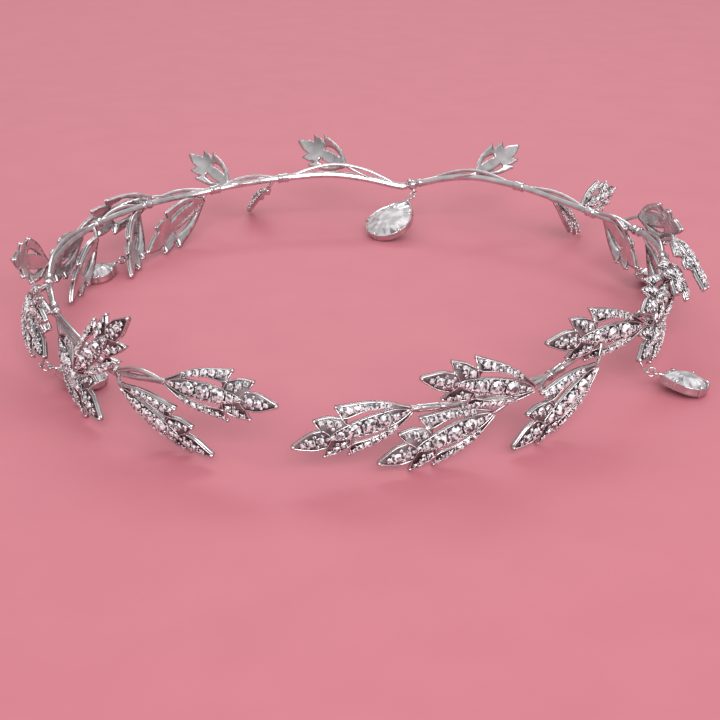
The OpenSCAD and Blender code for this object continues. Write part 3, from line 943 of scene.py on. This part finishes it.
# Metals: name, dark and light tint, least and most roughness, strength of the grain
silver = metal("polished_silver", (0.54, 0.5, 0.51), (0.74, 0.695, 0.705), 0.08, 0.26, 0.25)
# Darker, rougher silver for the leaf plate's face between the stones: painted shade of the recess
silver_painted_recess_shading = metal("recess_silver_painted_shading", (0.12, 0.11, 0.115), (0.4, 0.365, 0.375), 0.3, 0.5, 0.5)
stone_back = metal("mirror_back", (0.93, 0.94, 0.96), (1, 1, 1), 0.12, 0.3, 0.1)
# Near-black foil for some lower facets: painted shade, standing for a dark reflection
painted_shade_back = metal("back_painted_dark", (0.03, 0.03, 0.035), (0.12, 0.12, 0.13), 0.05, 0.2, 0.1)
pear_back = metal("pear_back", (0.3, 0.3, 0.32), (0.72, 0.72, 0.75), 0.1, 0.3, 0.1)
# Stones: name, scale and colours of the painted patches of light and shade, share of light let
# through, refraction
# Leaf stones: partly real, letting light through, with painted patches of light and shade
crystal_clear_painted_patches = crystal(
    "crystal", 1400,
    [(0.39, (0.05, 0.05, 0.06)), (0.48, (0.44, 0.42, 0.45)), (0.56, (0.98, 0.97, 0.99))], 0.4, 2.0)
# Pure white top facets: a painted glint
crystal_painted_glint = crystal(
    "crystal_painted_glint", 800, [(0.3, (0.95, 0.95, 0.98)), (0.6, (1, 1, 1))], 0.0, 2.4)
# Dark grey top facets: painted shade, standing for a dark reflection
crystal_painted_dark = crystal(
    "crystal_painted_dark", 800, [(0.4, (0.06, 0.06, 0.08)), (0.6, (0.4, 0.4, 0.44))], 0.3, 1.9)
# Pear stones: partly real, letting light through, with painted patches of light and shade
pear_clear_painted_patches = crystal(
    "pear_crystal", 420, [(0.4, (0.22, 0.2, 0.22)), (0.6, (0.7, 0.64, 0.67))], 0.5, 1.8)
# The pear's flashing facets, greyer than the leaf stones': a painted glint
pear_painted_glint = crystal(
    "pear_painted_glint", 420, [(0.4, (0.36, 0.35, 0.37)), (0.6, (0.76, 0.73, 0.76))], 0.2, 2.1)

# Pieces
# The looks follow the marks: painted patches, mirror foil, painted shade, painted glint, painted
# shade
LEAF_STONE_LOOKS = [crystal_clear_painted_patches, stone_back, painted_shade_back, crystal_painted_glint, crystal_painted_dark]
PEAR_LOOKS = [pear_clear_painted_patches, pear_back, painted_shade_back, pear_painted_glint, crystal_painted_dark]
for sprig in SPRIGS:
    sprig_metal(sprig).piece("casting_" + sprig.name, [silver, silver_painted_recess_shading], "silver",
                             "sprig_" + sprig.name)
for side, sign in (("right", 1), ("left", -1)):
    stones = Shape()
    for row in LEAVES:
        if row.deg * sign > 0:
            leaf_stones(stones, Leaf(row))
    stones.piece("stones_" + side, LEAF_STONE_LOOKS, "crystal", "leaf_stones_" + side)
knot = Shape()
for *where, r in BALLS:
    ball(knot, stem_at(*where), r)
hanger(knot, DROPS[0])
knot.piece("knot", [silver], "silver", "front_knot")
for row in DROPS:
    drop_setting(row).piece("cup_" + row.name, [silver], "silver", "drop_%s_setting" % row.name)
    drop_stone(row).piece("pear_" + row.name, PEAR_LOOKS, "crystal", "drop_%s_stone" % row.name)
for name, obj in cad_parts.items():
    if name.endswith("_ring"):
        obj.data.materials.clear()
        obj.data.materials.append(silver)

# Floor: half its width, and its colours
FLOOR_HALF = 3.0
FLOOR_STOPS = [(0.3, (0.555, 0.168, 0.21)), (0.7, (0.575, 0.178, 0.22))]
corners = [(x * FLOOR_HALF, y * FLOOR_HALF, 0) for x, y in ((-1, -1), (1, -1), (1, 1), (-1, 1))]
floor_mesh = bpy.data.meshes.new("floor")
floor_mesh.from_pydata(corners, [], [(0, 1, 2, 3)])
floor = new_object("floor", floor_mesh)
floor_look, nodes, links, shader = material("pale_surface")
paper = add_noise(nodes, links, FLOOR_SCALE)
links.new(ramp(nodes, links, paper, FLOOR_STOPS), shader.inputs["Base Color"])
shader.inputs["Roughness"].default_value = FLOOR_ROUGHNESS
floor_mesh.materials.append(floor_look)

# Light from all round: its colours from the horizon up, and its strength
SKY_STOPS = [(0.0, (0.46, 0.45, 0.46)), (0.25, (0.6, 0.6, 0.61)), (0.75, (1.0, 1.0, 1.0))]
SKY_STRENGTH = 0.75
world = bpy.data.worlds.new("studio")
bpy.context.scene.world = world
world.use_nodes = True
sky, sky_links = world.node_tree.nodes, world.node_tree.links
sky_at = sky.new("ShaderNodeTexCoord")
height = sky.new("ShaderNodeSeparateXYZ")
sky_links.new(sky_at.outputs["Generated"], height.inputs["Vector"])
shade = ramp(sky, sky_links, height.outputs["Z"], SKY_STOPS)
sky_links.new(shade, sky["Background"].inputs["Color"])
sky["Background"].inputs["Strength"].default_value = SKY_STRENGTH


def aim(obj, direction):
    obj.rotation_mode = "QUATERNION"
    obj.rotation_quaternion = Vector(direction).to_track_quat("-Z", "Y")


# Lamps, all aimed at the middle of the floor: name, place, width and depth, power
LAMPS = [
    ("key", (-0.55, 1.8, 1.4), (1.6, 1.2), 38),
    ("side", (-0.8, 0.3, 0.45), (0.25, 0.5), 1.5),
    ("back", (0.15, -0.7, 0.6), (0.7, 0.2), 1.5),
]
for name, where, size, power in LAMPS:
    light = bpy.data.lights.new(name, "AREA")
    light.shape = "RECTANGLE"
    light.size, light.size_y = size
    light.energy = power
    lamp = new_object(name, light)
    lamp.location = where
    aim(lamp, [-c for c in where])

# Camera: place, level direction, angle below level
CAMERA_AT = (-0.0569, 0.3159, 0.1319)
CAMERA_TOWARDS = (0.1826, -0.9832)
CAMERA_PITCH = math.radians(24.4)
camera_data = bpy.data.cameras.new("camera")
camera_data.lens = 66.4
camera_data.sensor_width = 36
camera_data.clip_start = 0.01
camera_data.clip_end = 20
camera = new_object("camera", camera_data)
camera.location = CAMERA_AT
aim(camera, [c * math.cos(CAMERA_PITCH) for c in CAMERA_TOWARDS] + [-math.sin(CAMERA_PITCH)])
bpy.context.scene.camera = camera
bpy.context.scene.view_settings.view_transform = "Standard"
